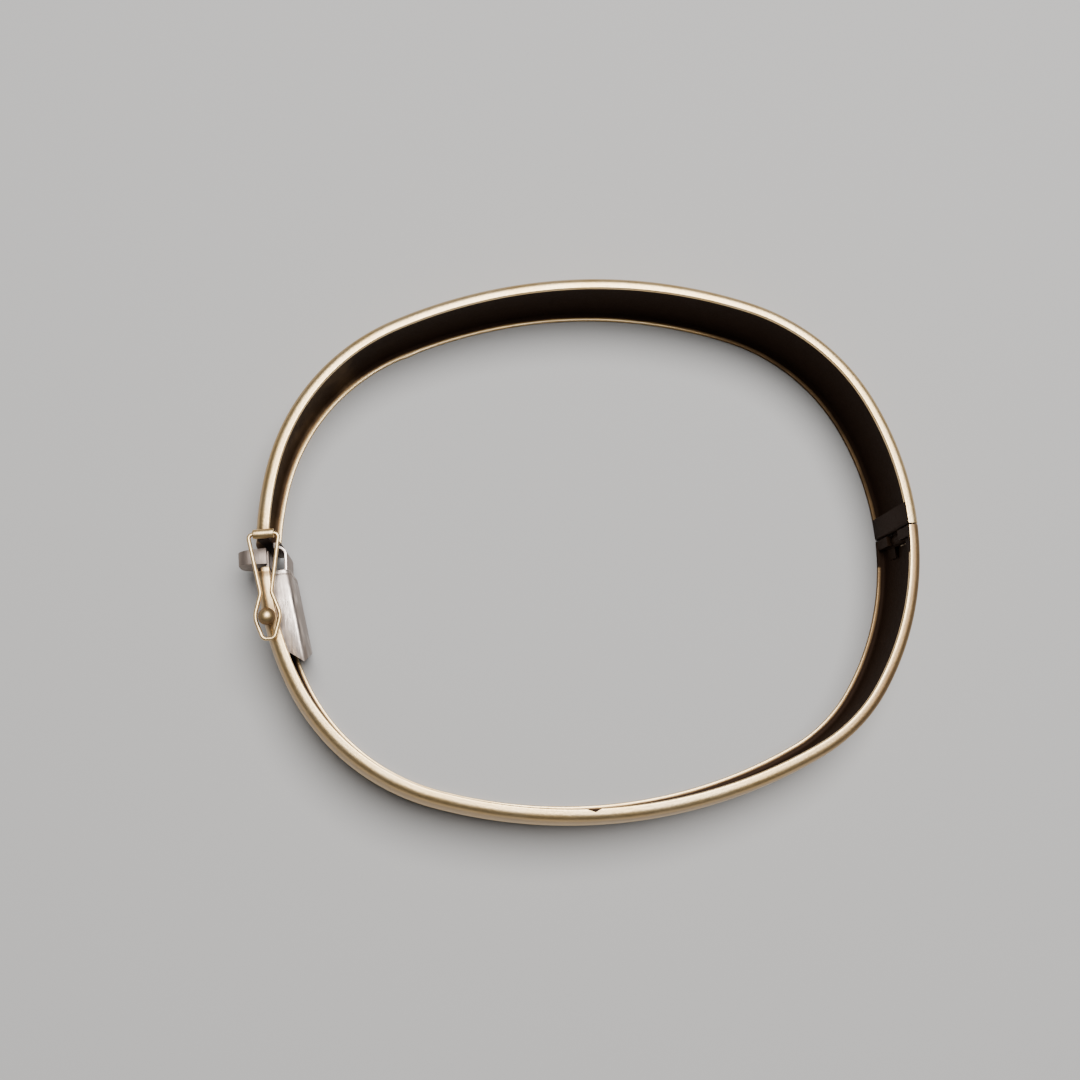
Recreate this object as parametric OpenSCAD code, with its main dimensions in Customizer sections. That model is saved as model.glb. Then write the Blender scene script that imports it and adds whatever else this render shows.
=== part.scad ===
// Hinged oval bangle, lying on its side as it rests.
// Two half bands of thin domed gold sheet, open on the inside like a channel, joined by a hinge.
// A sprung white-metal tongue snaps into a clasp box, and a wire catch loops over a ball.
// +X runs from the clasp to the hinge and +Z is up. The origin is the middle of the footprint.

/* [Oval] */
// Width of the wrist opening, from the clasp to the hinge
opening_w = 58.4; // [57.4:0.1:59]
// Depth of the wrist opening, across the two halves
opening_d = 47.9; // [47:0.1:49]

/* [Band] */
// Height of the band
band_h = 8; // [7.9:0.1:8.6]
// Width of each rim, seen from above
rim_w = 0.95; // [0.9:0.05:1.05]
// Flat part of each rim, before its rounded shoulder
rim_flat = 0.45; // [0.4:0.05:0.5]
// Radius of the shoulder between a rim and the domed outer face
shoulder_r = 0.7; // [0.65:0.05:0.75]
// How far the domed outer face stands out past the rims
dome_rise = 0.6; // [0.5:0.05:0.65]
// Thickness of the sheet
sheet_t = 0.35; // [0.3:0.05:0.4]

/* [Hinge] */
// Height of the saw cut between the two halves at the hinge
hinge_gap = 0.15; // [0.1:0.01:0.2]
// Place of that cut, below the oval's long axis
hinge_cut_y = 1.3; // [1.1:0.1:1.5]
// Radius of the hinge's three knuckles
knuckle_r = 0.58; // [0.5:0.01:0.6]
// Radius of the hinge pin
pin_r = 0.22; // [0.18:0.01:0.24]
// Height of the middle knuckle
middle_knuckle_h = 2.44; // [2:0.02:3]

/* [Clasp] */
// End of the upper half at the clasp, above the oval's long axis
upper_end_y = 2.05; // [2.05:0.05:2.15]
// End of the lower half at the clasp, below that axis
lower_end_y = 0.4; // [0.3:0.05:0.45]
// Thickness of the plates that close the band at the clasp
end_plate_t = 0.35; // [0.3:0.05:0.4]
// Height of the clasp box
box_h = 6; // [5.6:0.1:6.2]
// Thickness of the box's sheet
box_t = 0.35; // [0.3:0.05:0.4]
// Rounding of the box's two long edges
box_edge_r = 0.55; // [0.4:0.05:0.6]
// Height of the tongue
tongue_h = 4.6; // [4.2:0.1:4.7]
// Thickness of the tongue's spring strip
strip_t = 0.26; // [0.2:0.02:0.28]
// Width of the thumb-piece where it leaves the band
thumb_w = 1.45; // [1.3:0.01:1.5]
// Width of the thumb-piece at its outer end
thumb_tip_w = 1.2; // [1:0.05:1.3]
// How far the thumb-piece stands out from the strip
thumb_reach = 2.5; // [2.3:0.05:2.6]
// Height of the thumb-piece
thumb_h = 3.6; // [3:0.1:3.8]

/* [Safety catch] */
// Thickness of the catch's wire
wire_d = 0.38; // [0.38:0.02:0.4]
// Length of the tube that the catch turns in
tube_l = 1.8; // [1.6:0.1:1.8]
// Outer diameter of that tube
tube_d = 0.84; // [0.8:0.02:0.9]
// Diameter of the ball that the catch snaps over
ball_d = 1.5; // [1.4:0.05:1.5]

/* [Hidden] */
$fn = 120;
gold = [0.83, 0.66, 0.36];
white_metal = [0.78, 0.76, 0.73];
running_gap = 0.03;
far = 80;

// Half axes of the oval along the outer edge of the rims
half_w = opening_w / 2 + rim_w;
half_d = opening_d / 2 + rim_w;

// Each quarter of the oval is three arcs that run into each other: an end, a corner and a side.
// Columns: radius of the corner, angle where the end becomes the corner, and where that becomes the side
HINGE_UPPER = [19.7, 22, 67.8];
CLASP_UPPER = [20, 17.5, 69.3];
CLASP_LOWER = [20, 22, 69.4];
HINGE_LOWER = [16.2, 38, 67.1];
function corner_r(q) = q[0];
function end_turn(q) = q[1];
function side_start(q) = q[2];
function slant(q) = (1 - sin(side_start(q))) / cos(side_start(q));
function end_extra(q) =
    (half_d - corner_r(q) - (half_w - corner_r(q)) * slant(q))
    / (sin(end_turn(q)) - (1 - cos(end_turn(q))) * slant(q));
function end_r(q) = corner_r(q) + end_extra(q);
function corner_x(q) = half_w - corner_r(q) - end_extra(q) * (1 - cos(end_turn(q)));
function corner_y(q) = end_extra(q) * sin(end_turn(q));
function side_r(q) = corner_r(q) + corner_x(q) / cos(side_start(q));

// Section of the band: u runs outwards from the rim's outer edge, and the height is second
shoulder_u = rim_flat - rim_w;
shoulder_drop = band_h / 2 - shoulder_r;
dome_lead = dome_rise - shoulder_u;
dome_r = (dome_lead * dome_lead + shoulder_drop * shoulder_drop - shoulder_r * shoulder_r)
         / (2 * (dome_lead - shoulder_r));
dome_turn = asin(shoulder_drop / (dome_r - shoulder_r));

// The hinge pin stands at the rim's outer edge, just below the saw cut
pin_x = half_w;
pin_drop = 0.55;
pin_y = -hinge_cut_y - hinge_gap - pin_drop;
relief_r = 0.95;
relief_z = sheet_t + 0.5;
relief_drop = 0.2;
bore_r = pin_r + running_gap;
pin_h = 4.9;
pin_play = 0.05;
knuckle_gap = 0.08;
overlap = 0.05;
end_knuckle_h = (band_h - middle_knuckle_h) / 2 - knuckle_gap - sheet_t + overlap;
hinge_fill_y = 0.75;
web_w = 0.6;

// The tongue and its strip keep to circles about the hinge pin, so that they slide out freely
strip_in_r = pin_x + half_w - 2.23;
strip_out_r = strip_in_r + strip_t;
box_clear = 0.05;
box_face_x = 2.46 - half_w;
box_face_turn = 8;
box_front_y = -0.6;
box_room_y = -7.6;
box_tip_x = 3.35 - half_w;
box_tip_y = -8.88;
box_reach = 12;
// Columns: lean of each cut at the box's far end, and its direction seen from above
BOX_END_CUTS = [[12, -125.8], [9, -50.4]];
groove_y = -1.06;
groove_w = 0.08;
groove_t = 0.06;
fold_y = -6.95;
fold_r = 0.25;
fold_x = pin_x - sqrt(pow(strip_in_r + strip_t / 2, 2) - pow(fold_y - pin_y, 2)) - fold_r;
neck_x = 0.43 - half_w;
neck_bottom_y = -1;
neck_top_y = 1.5;
neck_h = 2.8;
thumb_bottom_y = 0.3;
leaf_lean = atan2(fold_x - fold_r - neck_x, neck_bottom_y - fold_y);
mouth_x = 0.53 - half_w;
notch_x = 0.1 - half_w;
mouth_clear = 0.25;
foot_seat_x = mouth_x + 0.12;

// The catch's tube, plane and length, and its ball
catch_x = 0.63 - half_w;
catch_y = 2.45;
catch_z = band_h + 0.4;
catch_l = 9.25;
ball_y = -4.95;
ball_z = band_h + 1;
post_r = 0.3;
tube_bore_r = wire_d / 2 + running_gap;
saddle = [tube_d, 0.55, 0.45];
saddle_x = catch_x - 0.56;
saddle_drop = 0.25;

// The whole is moved so that the origin is the middle of its footprint
thumb_tip_x = neck_x - strip_t / 2 - thumb_reach;
footprint_shift = (-thumb_tip_x - half_w - dome_rise) / 2;

// Filled outline of the band's section, drawn in by inset and carried back past the rims by back
module section(inset = 0, back = 0) {
    shoulder_top = band_h / 2 - (dome_r - inset) * sin(dome_turn);
    translate([-rim_w - back, inset])
        square([rim_flat + back, band_h - 2 * inset]);
    intersection() {
        for (z = [shoulder_r, band_h - shoulder_r])
            translate([shoulder_u, z])
                circle(r = shoulder_r - inset);
        translate([shoulder_u, 0])
            square([shoulder_r, band_h]);
    }
    intersection() {
        translate([dome_rise - dome_r, band_h / 2])
            circle(r = dome_r - inset, $fn = 360);
        translate([shoulder_u, shoulder_top])
            square([2, band_h - 2 * shoulder_top]);
    }
}

module channel_section() {
    difference() {
        section();
        section(inset = sheet_t, back = 1);
    }
}

// Moves in a coarse and a fine step, so that neighbouring pieces meet to the last digit
module place(x, y) {
    coarse = [round(x * 100) / 100, round(y * 100) / 100];
    translate(coarse)
        translate([x, y] - coarse)
            children();
}

// Sweeps a section, drawn from the rim's outer edge, round an arc
module arc(r, from, to) {
    rotate_extrude(start = from, angle = to - from)
        place(r, 0)
            children();
}

module end_arc(q, to) {
    place(half_w - end_r(q), 0)
        arc(end_r(q), 0, to)
            children();
}

module quarter(q) {
    end_arc(q, end_turn(q))
        children();
    place(corner_x(q), corner_y(q))
        arc(corner_r(q), end_turn(q), side_start(q))
            children();
    place(0, half_d - side_r(q))
        arc(side_r(q), side_start(q), 90)
            children();
}

// A block between two heights, above or below a line across the band
module slab(y_from, y_to, z_from = -1, z_to = band_h + 1) {
    translate([-far, y_from, z_from])
        cube([2 * far, y_to - y_from, z_to - z_from]);
}

module pin_post(r, z_from, h) {
    translate([pin_x, pin_y, z_from])
        cylinder(r = r, h = h);
}

// Solid stretch of the band next to the hinge, where the knuckles are soldered
module hinge_fill() {
    mirror([0, 1, 0])
        end_arc(HINGE_LOWER, 12)
            section();
    end_arc(HINGE_UPPER, 6)
        section();
}

module upper_knuckle() {
    z_from = (band_h - middle_knuckle_h) / 2;
    pin_post(knuckle_r, z_from, middle_knuckle_h);
    translate([pin_x - web_w / 2, pin_y, z_from])
        cube([web_w, pin_drop + hinge_gap + overlap, middle_knuckle_h]);
}

module lower_knuckle() {
    z_from = sheet_t - overlap;
    top_web = [rim_w, pin_drop + 0.4, end_knuckle_h];
    long_web = [web_w + overlap, 1.6, end_knuckle_h];
    pin_post(knuckle_r, z_from, end_knuckle_h);
    translate([pin_x - top_web[0], pin_y + pin_drop - top_web[1], z_from])
        cube(top_web);
    translate([pin_x - web_w / 2, pin_y - long_web[1], z_from])
        cube(long_web);
}

// Room in the lower half's outer face: close round the middle knuckle, and wider above for its web's swing
module hinge_relief() {
    relief_h = band_h - 2 * relief_z;
    pin_post(knuckle_r + knuckle_gap, relief_z, relief_h);
    intersection() {
        pin_post(relief_r, relief_z, relief_h);
        slab(pin_y - relief_drop, 0);
    }
}

module upper_half() {
    color(gold)
        difference() {
            union() {
                intersection() {
                    union() {
                        quarter(HINGE_UPPER)
                            channel_section();
                        mirror([1, 0, 0])
                            quarter(CLASP_UPPER)
                                channel_section();
                        mirror([0, 1, 0])
                            end_arc(HINGE_LOWER, 6)
                                channel_section();
                    }
                    union() {
                        translate([0, -hinge_cut_y, -1])
                            cube([far, far, band_h + 2]);
                        translate([-far, upper_end_y, -1])
                            cube([far, far, band_h + 2]);
                    }
                }
                intersection() {
                    hinge_fill();
                    union() {
                        slab(-hinge_cut_y, hinge_fill_y);
                        upper_knuckle();
                    }
                }
                clasp_end_of_upper_half();
            }
            pin_post(bore_r, (band_h - pin_h) / 2 - pin_play, pin_h + 2 * pin_play);
            translate([catch_x - tube_l, catch_y, catch_z])
                rotate([0, 90, 0])
                    cylinder(r = tube_bore_r, h = 2 * tube_l);
        }
}

// End plate, the bracket for the tongue's foot, and the tube for the safety catch
module clasp_end_of_upper_half() {
    intersection() {
        mirror([1, 0, 0])
            end_arc(CLASP_UPPER, 6)
                section();
        slab(upper_end_y, upper_end_y + end_plate_t);
    }
    translate([foot_seat_x, upper_end_y, (band_h - tongue_h) / 2])
        cube([rim_w, end_plate_t, tongue_h]);
    translate([catch_x - tube_l / 2, catch_y, catch_z])
        rotate([0, 90, 0])
            cylinder(d = tube_d, h = tube_l);
    translate([saddle_x, upper_end_y + 0.15, band_h - saddle_drop])
        cube(saddle);
}

module lower_half() {
    color(gold)
        difference() {
            union() {
                difference() {
                    intersection() {
                        union() {
                            mirror([0, 1, 0])
                                quarter(HINGE_LOWER)
                                    channel_section();
                            rotate([0, 0, 180])
                                quarter(CLASP_LOWER)
                                    channel_section();
                        }
                        union() {
                            translate([0, -far - hinge_cut_y - hinge_gap, -1])
                                cube([far, far, band_h + 2]);
                            translate([-far, -far - lower_end_y, -1])
                                cube([far, far, band_h + 2]);
                        }
                    }
                    hinge_relief();
                }
                intersection() {
                    hinge_fill();
                    union() {
                        lower_knuckle();
                        translate([0, 0, band_h])
                            mirror([0, 0, 1])
                                lower_knuckle();
                    }
                }
                clasp_end_of_lower_half();
            }
            pin_post(bore_r, (band_h - pin_h) / 2 - pin_play, pin_h + 2 * pin_play);
        }
}

// End plate with the mouth that the tongue goes in by, and the ball on its post
module clasp_end_of_lower_half() {
    difference() {
        intersection() {
            rotate([0, 0, 180])
                end_arc(CLASP_LOWER, 4)
                    section();
            slab(-lower_end_y - end_plate_t, -lower_end_y);
        }
        translate([mouth_x, -2, (band_h - tongue_h) / 2 - mouth_clear])
            cube([2, 3, tongue_h + 2 * mouth_clear]);
        translate([notch_x, -2, (band_h - neck_h) / 2 - mouth_clear])
            cube([2, 3, neck_h + 2 * mouth_clear]);
    }
    translate([catch_x, ball_y, band_h - post_r])
        cylinder(r = post_r, h = ball_z - band_h);
    translate([catch_x, ball_y, ball_z])
        sphere(d = ball_d);
}

module hinge_pin() {
    color(gold)
        pin_post(pin_r, (band_h - pin_h) / 2, pin_h);
}

// Part of a ring about the hinge pin, for the tongue and for the box's inside
module pin_ring(r_from, r_to, h, from = 170, to = 190) {
    translate([pin_x, pin_y, (band_h - h) / 2])
        rotate_extrude(start = from, angle = to - from, $fn = 360)
            translate([r_from, 0])
                square([r_to - r_from, h]);
}

// Bar along the box's inner face, leaning with it, its two inner edges rounded
module box_bar(inset, y_from, y_to) {
    deep = 4;
    translate([box_face_x, 0, band_h / 2])
        rotate([0, 0, box_face_turn])
            translate([0, y_to, 0])
                rotate([90, 0, 0])
                    linear_extrude(height = y_to - y_from) {
                        translate([-deep, inset - box_h / 2])
                            square([deep - box_edge_r, box_h - 2 * inset]);
                        translate([-deep, box_edge_r - box_h / 2])
                            square([deep - inset, box_h - 2 * box_edge_r]);
                        for (side = [-1, 1])
                            translate([-box_edge_r, side * (box_h / 2 - box_edge_r)])
                                circle(r = box_edge_r - inset);
                    }
}

module clasp_box() {
    inside_r = end_r(CLASP_LOWER) + dome_rise - 2 * sheet_t;
    color(white_metal)
        difference() {
            intersection() {
                box_bar(0, -box_reach, 2);
                translate([end_r(CLASP_LOWER) - half_w, 0, 0])
                    cylinder(r = inside_r, h = band_h, $fn = 360);
                slab(-box_reach, box_front_y);
            }
            // the part inside the channel starts behind the end plate
            translate([-far - half_w + rim_w + overlap, -lower_end_y - end_plate_t, 0])
                cube([far, 1, band_h]);
            // the room for the tongue
            intersection() {
                pin_ring(strip_in_r - box_clear, strip_in_r + 4, box_h - 2 * box_t);
                slab(box_room_y, 1);
            }
            // groove behind the collar at the mouth
            difference() {
                slab(groove_y, groove_y + groove_w);
                box_bar(groove_t, -3, 2);
            }
            // far end, cut on two slants that meet in a tip
            for (cut = BOX_END_CUTS)
                translate([box_tip_x, box_tip_y, band_h / 2 + box_h / 2])
                    rotate([0, cut[0], cut[1]])
                        translate([0, -box_reach, -box_reach])
                            cube(2 * box_reach);
        }
}

// Fixed strip of the tongue: foot on the upper half, J-bend, then a long blade into the box
module tongue() {
    bend_turn = 2.8;
    bend_r = 0.9;
    bend_x = pin_x - (strip_in_r + bend_r) * cos(bend_turn);
    bend_y = pin_y + (strip_in_r + bend_r) * sin(bend_turn);
    foot_y = bend_y + bend_r - strip_t;
    color(white_metal) {
        intersection() {
            pin_ring(strip_in_r, strip_out_r, tongue_h, 180 - bend_turn);
            slab(fold_y + 0.04, 1);
        }
        translate([0, 0, (band_h - tongue_h) / 2]) {
            place(bend_x, bend_y)
                rotate_extrude(start = -bend_turn, angle = 90 + bend_turn)
                    translate([bend_r - strip_t, 0])
                        square([strip_t, tongue_h]);
            place(bend_x - strip_t, foot_y)
                cube([strip_t, upper_end_y - foot_y, tongue_h]);
        }
    }
}

// Sprung strip: fold, leaf with two shoulders that catch behind the mouth, neck and thumb-piece
module thumb_piece() {
    leaf_l = (neck_bottom_y - fold_y) / cos(leaf_lean);
    color(white_metal) {
        translate([fold_x, fold_y, (band_h - tongue_h) / 2])
            rotate([0, 0, 180 + leaf_lean])
                rotate_extrude(angle = 180 - leaf_lean)
                    translate([fold_r - strip_t / 2, 0])
                        square([strip_t, tongue_h]);
        translate([fold_x, fold_y, (band_h - tongue_h) / 2])
            rotate([0, 0, leaf_lean])
                translate([-fold_r - strip_t / 2, 0, 0])
                    cube([strip_t, leaf_l, tongue_h]);
        translate([neck_x - strip_t / 2, neck_bottom_y - 0.1, (band_h - neck_h) / 2])
            cube([strip_t, neck_top_y - neck_bottom_y + 0.1, neck_h]);
        press_block();
    }
}

// Tapered in plan and rounded at its outer end
module press_block() {
    middle_y = thumb_bottom_y + thumb_w / 2;
    round_r = 1.2;
    reach = 5;
    intersection() {
        translate([0, 0, band_h / 2 - thumb_h / 2])
            linear_extrude(height = thumb_h)
                polygon([
                    [neck_x, middle_y - thumb_w / 2],
                    [neck_x, middle_y + thumb_w / 2],
                    [thumb_tip_x, middle_y + thumb_tip_w / 2],
                    [thumb_tip_x, middle_y - thumb_tip_w / 2]
                ]);
        translate([0, reach, band_h / 2])
            rotate([90, 0, 0])
                linear_extrude(height = 2 * reach)
                    union() {
                        for (side = [-1, 1])
                            translate([thumb_tip_x + round_r, side * (thumb_h / 2 - round_r)])
                                circle(r = round_r);
                        translate([thumb_tip_x, -thumb_h / 2 + round_r])
                            square([reach, thumb_h - 2 * round_r]);
                        translate([thumb_tip_x + round_r, -thumb_h / 2])
                            square([reach, thumb_h]);
                    }
    }
}

// Corners of the catch's wire, from the tube round by the lip: across, along, and bend radius there
CATCH_ROUTE = [
    [1.32, 0, 0.37],
    [0.42, -5.18, 0.61],
    [1.11, -7.24, 1.62],
    [0.46, -catch_l, 0.45],
    [-0.49, -catch_l, 0.47],
    [-1.13, -7.3, 1.83],
    [-0.51, -5.25, 0.7],
    [-1.34, 0, 0.36]
];
function spot(i) = [CATCH_ROUTE[(i + 8) % 8][0], CATCH_ROUTE[(i + 8) % 8][1]];
function bend(i) = CATCH_ROUTE[(i + 8) % 8][2];
function heading(i) = atan2(spot(i + 1)[1] - spot(i)[1], spot(i + 1)[0] - spot(i)[0]);
function turn_at(i) = ((heading(i) - heading(i - 1) + 540) % 360) - 180;
function setback(i) = bend(i) * tan(abs(turn_at(i)) / 2);

module safety_catch() {
    color(gold)
        translate([catch_x, catch_y, catch_z])
            for (i = [0:7]) {
                side = sign(turn_at(i));
                along = heading(i - 1);
                from = spot(i) - setback(i) * [cos(along), sin(along)];
                centre = from + side * bend(i) * [-sin(along), cos(along)];
                gap = norm(spot(i + 1) - spot(i)) - setback(i) - setback(i + 1);
                start = spot(i) + setback(i) * [cos(heading(i)), sin(heading(i))];
                place(centre[0], centre[1])
                    rotate([0, 0, along - side * 90 + min(0, turn_at(i))])
                        rotate_extrude(angle = abs(turn_at(i)))
                            translate([bend(i), 0])
                                circle(d = wire_d, $fn = 32);
                place(start[0], start[1])
                    rotate([0, 90, heading(i)])
                        cylinder(d = wire_d, h = gap, $fn = 32);
            }
}

module placed() {
    translate([footprint_shift, 0, 0])
        children();
}

placed() lower_half();
placed() upper_half();
placed() hinge_pin();
placed() clasp_box();
placed() tongue();
placed() thumb_piece();
placed() safety_catch();
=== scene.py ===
"""A hinged gold bangle with a white-metal clasp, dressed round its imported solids."""

import math

import bmesh
import bpy
from mathutils import Matrix, Vector

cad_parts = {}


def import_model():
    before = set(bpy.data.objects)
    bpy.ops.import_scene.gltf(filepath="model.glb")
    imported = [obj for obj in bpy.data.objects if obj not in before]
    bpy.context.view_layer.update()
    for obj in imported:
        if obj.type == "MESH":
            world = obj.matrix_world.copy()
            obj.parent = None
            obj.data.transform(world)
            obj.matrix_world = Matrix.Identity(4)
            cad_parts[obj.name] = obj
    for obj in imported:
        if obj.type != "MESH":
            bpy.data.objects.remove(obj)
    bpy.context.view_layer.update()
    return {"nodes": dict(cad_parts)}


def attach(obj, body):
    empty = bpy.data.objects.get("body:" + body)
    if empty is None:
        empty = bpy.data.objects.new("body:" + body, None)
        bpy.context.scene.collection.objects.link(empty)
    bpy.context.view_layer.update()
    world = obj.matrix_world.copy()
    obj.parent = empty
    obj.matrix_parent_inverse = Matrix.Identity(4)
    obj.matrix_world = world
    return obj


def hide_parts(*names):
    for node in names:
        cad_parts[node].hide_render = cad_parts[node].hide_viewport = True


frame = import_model()

# All sizes are in millimetres, in the oval's own frame, with the names of the part's source.
MM = 0.001
OPENING_W = 58.4
OPENING_D = 47.9
BAND_H = 8.0
RIM_W = 0.95
RIM_FLAT = 0.45
SHOULDER_R = 0.7
DOME_RISE = 0.6
SHEET_T = 0.35
HALF_W = OPENING_W / 2 + RIM_W
HALF_D = OPENING_D / 2 + RIM_W
HINGE_CUT_Y = -1.3
HINGE_GAP = 0.15
HINGE_FILL_Y = 0.75
HINGE_END_TURN = 10
PIN = Vector((HALF_W, -2.0, 0))
PIN_DROP = 0.55
KNUCKLE_R = 0.58
BORE_R = 0.25
BORE_Z = (1.5, 6.5)
RELIEF_R = 0.95
RELIEF_Z = SHEET_T + 0.5
RELIEF_DROP = 0.08
KNUCKLE_GAP = 0.05
WEB_HALF_W = 0.3
MIDDLE_KNUCKLE = (2.78, 5.22)
END_KNUCKLES = ((0.3, 2.7), (5.3, 7.7))
UPPER_END_Y = 2.05
LOWER_END_Y = -0.4
END_PLATE_T = 0.35
TONGUE_H = 4.6
NECK_H = 2.8
MOUTH_X = 0.53 - HALF_W
NOTCH_X = 0.1 - HALF_W
MOUTH_CLEAR = 0.25
CATCH = Vector((0.63 - HALF_W, 2.45, BAND_H + 0.4))
TUBE_L = 1.8
TUBE_R = 0.42
TUBE_BORE_R = 0.22
WIRE_R = 0.17
CATCH_L = 9.25
BALL = Vector((CATCH.x, -4.95, BAND_H + 1))
BALL_R = 0.75
POST_R = 0.3
FOOTPRINT_SHIFT = 0.8

# Worn rounding of the sheet's edges and of the rim's end at the hinge
EDGE_R = 0.12
INNER_EDGE_R = 0.08
RIM_END_R = 0.25

# The spacing of the rings along the band and the wire, the steps of the section's runs and turns,
# and the sides of round pieces
RING_STEP = 0.3
RIM_STEPS = 4
EDGE_STEPS = 5
SHOULDER_STEPS = 10
DOME_STEPS = 22
INNER_RIM_STEPS = 2
INNER_EDGE_STEPS = 3
INNER_SHOULDER_STEPS = 6
INNER_DOME_STEPS = 16
ROD_SIDES = 48
TUBE_SIDES = 40
WIRE_SIDES = 20
BALL_SIDES = 48

# Past the bangle on every side, for blocks that cut it or keep a part of it
FAR = 40
BELOW = -1
ABOVE = BAND_H + 1

# The distance within which vertices are merged, how far solids reach into each other to be
# joined, and the turn past which an edge counts as sharp
MERGED = 1e-4
OVERLAP = 0.05
SHARP_TURN = math.radians(35)


class Quarter:
    """A quarter of the oval: an end, a corner and a side arc that run into each other."""

    def __init__(self, corner_r, end_turn, side_start):
        self.corner_r = corner_r
        self.end_turn = end_turn
        self.side_start = side_start
        turn = math.radians(end_turn)
        start = math.radians(side_start)
        slant = (1 - math.sin(start)) / math.cos(start)
        extra = (HALF_D - corner_r - (HALF_W - corner_r) * slant) / (
            math.sin(turn) - (1 - math.cos(turn)) * slant
        )
        self.end_r = corner_r + extra
        corner_x = HALF_W - corner_r - extra * (1 - math.cos(turn))
        self.corner = Vector((corner_x, extra * math.sin(turn), 0))
        self.side_r = corner_r + self.corner.x / math.cos(start)
        self.end = Vector((HALF_W - self.end_r, 0, 0))
        self.side = Vector((0, HALF_D - self.side_r, 0))
        self.end_l = self.end_r * turn
        self.corner_l = corner_r * (start - turn)
        self.side_l = self.side_r * (math.pi / 2 - start)
        self.length = self.end_l + self.corner_l + self.side_l

    def course(self, x, y):
        """How far a point is along the rim from the long axis, and out from the rim's outer edge."""
        point = Vector((x, y, 0))
        about_end = point - self.end
        at_end = math.atan2(about_end.y, about_end.x)
        if at_end <= math.radians(self.end_turn):
            return self.end_r * at_end, about_end.length - self.end_r
        about_corner = point - self.corner
        at_corner = math.atan2(about_corner.y, about_corner.x)
        if at_corner <= math.radians(self.side_start):
            past = at_corner - math.radians(self.end_turn)
            return self.end_l + self.corner_r * past, about_corner.length - self.corner_r
        about_side = point - self.side
        past = math.atan2(about_side.y, about_side.x) - math.radians(self.side_start)
        return self.end_l + self.corner_l + self.side_r * past, about_side.length - self.side_r


HINGE_UPPER = Quarter(corner_r=19.7, end_turn=22, side_start=67.8)
CLASP_UPPER = Quarter(corner_r=20, end_turn=17.5, side_start=69.3)
CLASP_LOWER = Quarter(corner_r=20, end_turn=22, side_start=69.4)
HINGE_LOWER = Quarter(corner_r=16.2, end_turn=38, side_start=67.1)


def unrolled(point):
    """A point of the band as if the band were laid out flat: along it, out from the rim, and up."""
    lower = point.y < 0
    if point.x >= 0:
        quarter = HINGE_LOWER if lower else HINGE_UPPER
    else:
        quarter = CLASP_LOWER if lower else CLASP_UPPER
    along, out = quarter.course(abs(point.x), abs(point.y))
    if point.x < 0:
        along = (HINGE_LOWER.length if lower else HINGE_UPPER.length) + quarter.length - along
    return Vector((-along if lower else along, out, point.z))


def arcs(quarter, flip_x, flip_y):
    """The quarter's three arcs in its place, each as its centre and its two angles in degrees."""
    spans = (
        (quarter.end, 0, quarter.end_turn),
        (quarter.corner, quarter.end_turn, quarter.side_start),
        (quarter.side, quarter.side_start, 90),
    )
    sign_x = -1 if flip_x else 1
    sign_y = -1 if flip_y else 1
    placed = []
    for centre, start, stop in spans:
        if flip_x:
            start, stop = 180 - start, 180 - stop
        if flip_y:
            start, stop = -start, -stop
        placed.append((Vector((centre.x * sign_x, centre.y * sign_y, 0)), start, stop))
    return placed


def reverse(spans):
    """The same arcs, gone through from their other end."""
    return [(centre, stop, start) for centre, start, stop in reversed(spans)]


# Outlines and solids


def put_in_order(bm):
    """Orders edges and faces by their vertices, because a spin adds them in another order each run.

    No edge or face from before may be used after it.
    """
    bm.verts.index_update()
    count = len(bm.verts)

    def rank(element):
        spots = sorted(vert.index for vert in element.verts)
        return (spots[0] * count + spots[1]) * count + spots[-1]

    for elements in (bm.edges, bm.faces):
        elements.sort(key=rank)
        elements.index_update()


def picked(geom, kind):
    """The elements of one kind, such as edges, among what an operator gave back."""
    return [g for g in geom if isinstance(g, kind)]


def spun(bm, geom, centre, axis, angle, steps, closed=False):
    """Spins an outline or a section, and gives the vertices and edges of its last step."""
    made = bmesh.ops.spin(
        bm,
        geom=geom,
        cent=centre,
        axis=axis,
        angle=angle,
        steps=steps,
        use_merge=closed,
        use_duplicate=False,
    )
    last = made["geom_last"]
    return picked(last, bmesh.types.BMVert), picked(last, bmesh.types.BMEdge)


class Outline:
    """A line of edges with straight runs and turns.

    It is drawn upright, across and up, or flat, in x and y.
    """

    def __init__(self, bm, a, b, flat=False):
        self.bm = bm
        self.flat = flat
        self.first = bm.verts.new(self.spot(a, b))
        self.last = self.first

    def spot(self, a, b):
        return Vector((a, b, 0)) if self.flat else Vector((a, 0, b))

    def run(self, a, b, steps=1):
        """Runs straight to the point (a, b)."""
        start = self.last.co.copy()
        for step in range(1, steps + 1):
            vert = self.bm.verts.new(start.lerp(self.spot(a, b), step / steps))
            self.bm.edges.new((self.last, vert))
            self.last = vert

    def turn(self, a, b, degrees, steps):
        """Turns about the point (a, b), from the first direction towards the second."""
        axis = (0, 0, 1) if self.flat else (0, -1, 0)
        verts, _ = spun(self.bm, [self.last], self.spot(a, b), axis, math.radians(degrees), steps)
        self.last = verts[0]

    def close(self):
        """Joins the two ends unless they meet, and gives the outline's edges."""
        if (self.last.co - self.first.co).length > 1e-6:
            self.bm.edges.new((self.last, self.first))
        bmesh.ops.remove_doubles(self.bm, verts=self.bm.verts[:], dist=1e-5)
        return self.bm.edges[:]


def block(low, high):
    """A plain block between two corners, for cutting and joining."""
    bm = bmesh.new()
    low = Vector(low)
    high = Vector(high)
    size = high - low
    place = Matrix.Translation((low + high) / 2) @ Matrix.Diagonal((size.x, size.y, size.z, 1))
    bmesh.ops.create_cube(bm, size=1, matrix=place)
    return bm


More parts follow.
